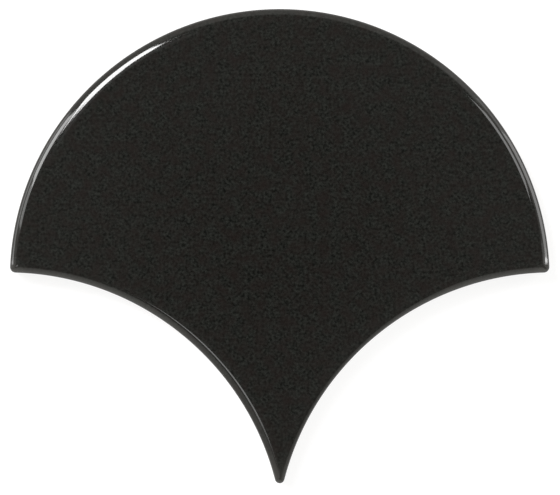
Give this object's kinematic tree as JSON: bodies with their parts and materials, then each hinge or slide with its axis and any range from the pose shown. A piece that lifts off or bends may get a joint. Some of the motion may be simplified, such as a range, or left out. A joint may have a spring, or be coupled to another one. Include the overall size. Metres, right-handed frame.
{
  "type": "fish scale wall tile",
  "caption": "Fan-shaped glazed wall tile with a round head, hollow flanks and a pointed tip, a soft rim round the face and shallow keying channels across the back.",
  "frame": {"origin": "centre of the round head's arc, on the plane of the back", "axes": "+X from shoulder to shoulder, +Y from the tip to the crown of the head, +Z out of the glazed face"},
  "size_m": [0.1198, 0.1054, 0.0085],
  "materials": {
    "glaze": "gloss"
  },
  "bodies": {
    "root": {"fish_scale_tile": "glaze"}
  },
  "joints": []
}
